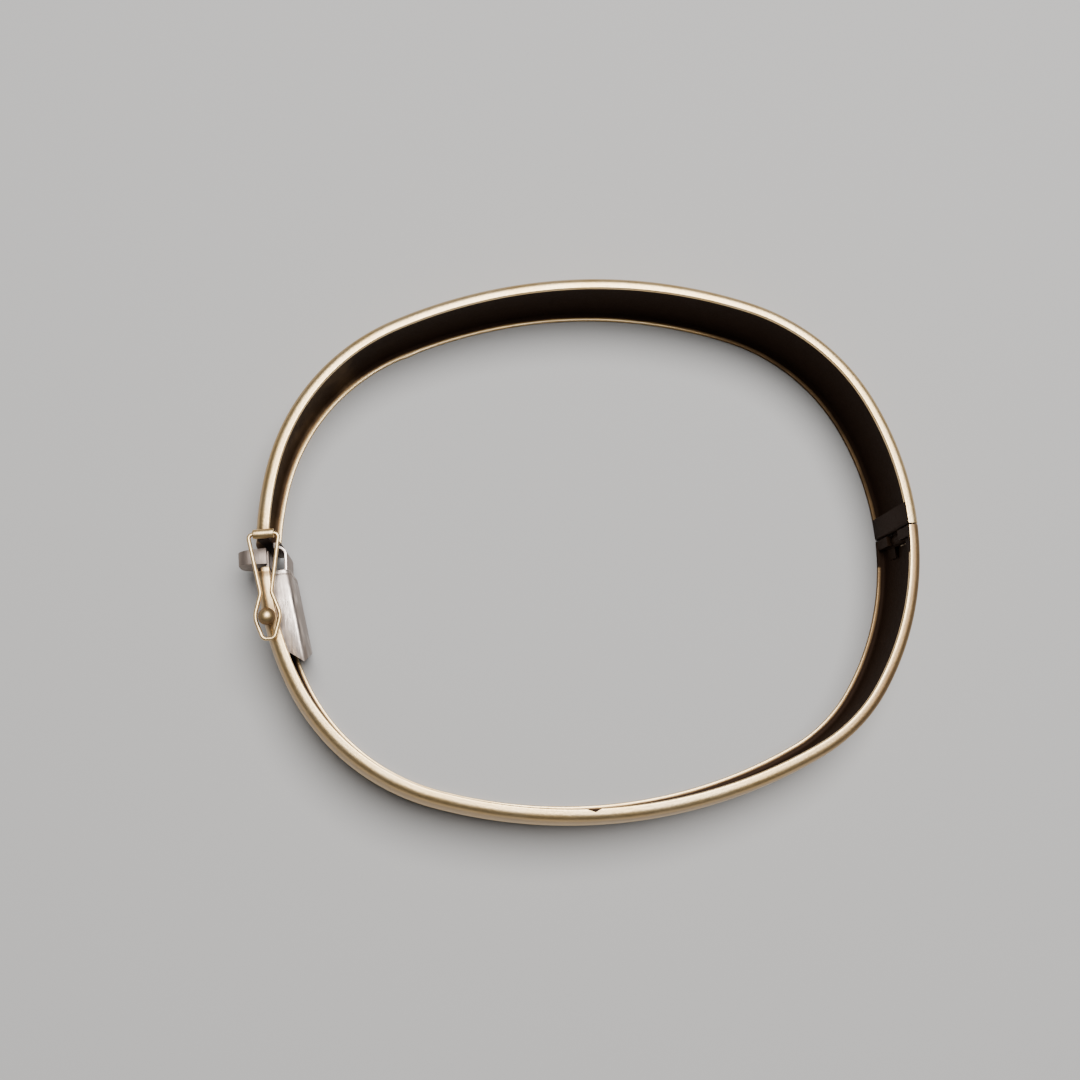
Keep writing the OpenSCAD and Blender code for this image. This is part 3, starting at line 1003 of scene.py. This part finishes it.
gold_pieces = [
    upper_band(),
    lower_band(),
    upper_hinge_block(),
    lower_hinge_end(),
    upper_end_plate(),
    lower_end_plate(),
    catch_tube(),
    tube_saddle(),
    ball_and_post(),
    safety_catch(),
]
white_pieces = [
    worn_copy("clasp_box", "clasp_box_shell", "lower", 0.06, box_painted_shade),
    worn_copy("tongue", "tongue_strip", "upper", 0.04, tongue_painted_shade),
    worn_copy("thumb_piece", "thumb_piece_block", "thumb", 0.06, thumb_painted_shade),
]


# Materials


class Signal:
    """A shader socket that takes part in plain arithmetic."""

    def __init__(self, finish, socket):
        self.finish = finish
        self.socket = socket

    def math(self, operation, first, second):
        return self.finish.node("ShaderNodeMath", {"operation": operation}, {0: first, 1: second})

    def __add__(self, other):
        return self.math("ADD", self, other)

    def __radd__(self, other):
        return self.math("ADD", other, self)

    def __sub__(self, other):
        return self.math("SUBTRACT", self, other)

    def __rsub__(self, other):
        return self.math("SUBTRACT", other, self)

    def __mul__(self, other):
        return self.math("MULTIPLY", self, other)

    def __rmul__(self, other):
        return self.math("MULTIPLY", other, self)

    def either(self, other):
        """The larger of the two."""
        return self.math("MAXIMUM", self, other)


class Finish:
    """A metal finish under construction: its nodes, and the shader that they feed."""

    def __init__(self, name):
        self.material = bpy.data.materials.new(name)
        self.material.use_nodes = True
        self.tree = self.material.node_tree
        self.shader = self.tree.nodes["Principled BSDF"]
        self.shader.inputs["Specular IOR Level"].default_value = 0.15

    def node(self, kind, settings, sockets, output=0):
        """Adds a node: its settings first, then the values or links of its sockets."""
        made = self.tree.nodes.new(kind)
        for name, value in settings.items():
            setattr(made, name, value)
        for name, value in sockets.items():
            self.feed(made.inputs[name], value)
        return Signal(self, made.outputs[output])

    def feed(self, socket, value):
        """Links a signal to a socket, or sets the socket to a plain value."""
        if isinstance(value, Signal):
            self.tree.links.new(value.socket, socket)
        else:
            socket.default_value = value

    def place(self):
        """Object coordinates, in millimetres."""
        coords = self.node("ShaderNodeTexCoord", {}, {}, "Object")
        return self.node("ShaderNodeVectorMath", {"operation": "SCALE"}, {0: coords, "Scale": 1 / MM})

    def attribute(self, name, output):
        return self.node("ShaderNodeAttribute", {"attribute_name": name}, {}, output)

    def stretched(self, where, size, turn=(0, 0, 0)):
        return self.node("ShaderNodeMapping", {}, {"Vector": where, "Rotation": turn, "Scale": size})

    def noise(self, where, scale, detail, roughness=0.5):
        return self.node(
            "ShaderNodeTexNoise",
            {},
            {"Vector": where, "Scale": scale, "Detail": detail, "Roughness": roughness},
        )

    def rise(self, value, low, high):
        """0 below low and 1 above high, with a soft step between them."""
        return self.node(
            "ShaderNodeMapRange",
            {"interpolation_type": "SMOOTHSTEP"},
            {"Value": value, "From Min": low, "From Max": high},
        )

    def mix(self, mask, first, second):
        """The first colour where the mask is 0, and the second where it is 1."""
        return self.node("ShaderNodeMix", {"data_type": "RGBA"}, {0: mask, 6: first, 7: second}, 2)

    def scratches(self, where, turn, length, spacing, width):
        """Thin lines where stretched noise crosses its middle value, broken up along their way."""
        lines = self.noise(self.stretched(where, (1 / length, spacing, spacing), turn), 1.0, 1.0)
        from_middle = self.node("ShaderNodeMath", {"operation": "ABSOLUTE"}, {0: lines - 0.5})
        broken = self.rise(self.noise(where, 0.9, 1.0), 0.5, 0.62)
        return (1 - self.rise(from_middle, 0.0, width)) * broken

    def finish(self, colour, roughness, metallic, height, depth):
        """Feeds the shader. depth is the height of the relief in millimetres."""
        relief = self.node("ShaderNodeBump", {}, {"Height": height, "Distance": depth * MM})
        self.feed(self.shader.inputs["Base Color"], colour)
        self.feed(self.shader.inputs["Roughness"], roughness)
        self.feed(self.shader.inputs["Metallic"], metallic)
        self.feed(self.shader.inputs["Normal"], relief)
        return self.material


YELLOW_GOLD = (0.8, 0.56, 0.27, 1)
PALE_GOLD = (0.84, 0.62, 0.34, 1)
# The next two browns: tarnish, also used for painted shade; and painted shade in hollows.
TARNISH_AND_SHADE = (0.29, 0.178, 0.085, 1)
SHADE_AND_STAIN_BROWN = (0.03, 0.015, 0.008, 1)
WHITE_METAL = (0.7, 0.6, 0.53, 1)
BRIGHT_SCRATCH = (0.92, 0.88, 0.84, 1)
# A grey film in random patches, also used for painted shade on the white metal.
GREY_DULL = (0.17, 0.125, 0.1, 1)


def worn_gold():
    """Satin 14-carat gold.

    It has fine lines along the band, small dark specks, tarnish, and brown painted shade where
    light falls less, with a painted highlight on the ball's crown.
    """
    f = Finish("worn_gold")
    place = f.place()
    course = f.attribute("course", "Vector")
    patina_and_painted_shade = f.attribute("patina_and_painted_shade", "Fac")
    cloud = f.noise(place, 0.3, 3.0)
    grain = f.noise(place, 5.0, 3.0)
    satin = f.noise(f.stretched(course, (0.6, 8, 8)), 1.0, 3.0, 0.6)
    spots = f.rise(f.noise(place, 0.9, 3.0), 0.6, 0.72)
    specks = f.rise(f.noise(place, 4.5, 1.0), 0.7, 0.8)
    # The attribute is solder stains, painted shade, and a painted highlight on the ball.
    shade_and_stain = patina_and_painted_shade * (0.75 + 0.5 * cloud)
    tarnish_and_shade = f.rise(shade_and_stain, 0.04, 0.5)
    dark = f.rise(shade_and_stain, 0.35, 0.85)
    colour = f.mix(f.rise(cloud, 0.35, 0.65), YELLOW_GOLD, PALE_GOLD)
    colour = f.mix((spots * 0.12).either(specks * 0.4).either(tarnish_and_shade), colour, TARNISH_AND_SHADE)
    # Painted shade: dark brown where the attribute is high.
    colour = f.mix(dark, colour, SHADE_AND_STAIN_BROWN)
    roughness = 0.24 + 0.1 * satin + 0.2 * grain + 0.08 * tarnish_and_shade + 0.2 * dark
    height = 0.15 * satin + 0.6 * grain
    return f.finish(colour, roughness, 1 - 0.4 * dark, height, 0.018)


def brushed_white_metal():
    """White metal brushed along the clasp, scratched across, and dulled by grey film and painted
    shade.
    """
    f = Finish("brushed_white_metal")
    place = f.place()
    patina_and_painted_shade = f.attribute("patina_and_painted_shade", "Fac")
    cloud = f.noise(place, 0.5, 2.0)
    brushed = f.noise(f.stretched(place, (5, 0.8, 4), (0, 0, 0.12)), 1.0, 4.0, 0.65)
    dents = f.noise(f.stretched(place, (1, 0.6, 1)), 0.8, 2.0, 0.5)
    marks = f.scratches(place, turn=(0, 0, 1.3), length=2.5, spacing=2.0, width=0.01)
    # Grey film in random patches, and painted shade from the attribute.
    dull = f.rise(patina_and_painted_shade + 0.9 * cloud, 0.3, 0.72)
    colour = f.mix(0.4 * marks, WHITE_METAL, BRIGHT_SCRATCH)
    colour = f.mix(dull * 0.75, colour, GREY_DULL)
    roughness = 0.16 + 0.3 * brushed + 0.2 * dull
    height = 0.3 * brushed + 1.0 * dents
    return f.finish(colour, roughness, 1 - 0.15 * dull, height, 0.05)


gold = worn_gold()
white_metal = brushed_white_metal()
for piece in gold_pieces:
    piece.data.materials.append(gold)
for piece in white_pieces:
    piece.data.materials.append(white_metal)
frame["nodes"]["hinge_pin"].material_slots[0].material = gold


# Camera, floor and light

# The camera as fitted to the photo: its place in the oval's frame, its directions and its lens
CAMERA_SPOT = (-16.24, -19.84, 104.19)
CAMERA_RIGHT = Vector((0.9905, -0.1024, 0.0916))
CAMERA_FORWARD = Vector((0.1107, 0.2003, -0.9735))
CAMERA_LENS = 36.67

PALE_GREY = (0.42, 0.41, 0.4, 1)


def photo_camera():
    """The camera, turned by its directions after they are made square to each other."""
    data = bpy.data.cameras.new("photo_camera")
    data.lens = CAMERA_LENS
    data.sensor_width = 36
    data.clip_start = 0.005
    data.clip_end = 5
    camera = linked("photo_camera", data)
    right = CAMERA_RIGHT.normalized()
    forward = CAMERA_FORWARD.normalized()
    up = right.cross(forward).normalized()
    right = forward.cross(up).normalized()
    turn = Matrix((right, up, -forward)).transposed().to_4x4()
    x, y, z = CAMERA_SPOT
    place = Vector((x + FOOTPRINT_SHIFT, y, z)) * MM
    camera.matrix_world = Matrix.Translation(place) @ turn
    bpy.context.scene.camera = camera


def floor():
    """A plain pale floor."""
    bm = bmesh.new()
    bmesh.ops.create_grid(bm, x_segments=1, y_segments=1, size=2.0)
    sheet = as_object(bm, "floor")
    material = bpy.data.materials.new("pale_floor")
    material.use_nodes = True
    shader = material.node_tree.nodes["Principled BSDF"]
    shader.inputs["Base Color"].default_value = PALE_GREY
    shader.inputs["Roughness"].default_value = 0.9
    sheet.data.materials.append(material)


def lamp(name, place, size, power, target):
    """A round soft lamp, in metres and watts, that faces its target."""
    data = bpy.data.lights.new(name, "AREA")
    data.shape = "DISK"
    data.size = size
    data.energy = power
    lamp_object = linked(name, data)
    lamp_object.location = place
    way = Vector(target) - Vector(place)
    lamp_object.rotation_euler = way.to_track_quat("-Z", "Y").to_euler()


def world(level):
    """An even white surround."""
    scene_world = bpy.data.worlds.new("studio")
    scene_world.use_nodes = True
    background = scene_world.node_tree.nodes["Background"]
    background.inputs["Color"].default_value = (1, 1, 1, 1)
    background.inputs["Strength"].default_value = level
    bpy.context.scene.world = scene_world


photo_camera()
floor()
lamp("top_light", place=(0.058, 0.105, 0.4), size=0.3, power=3.6, target=(0, 0.02, 0))
world(level=0.09)
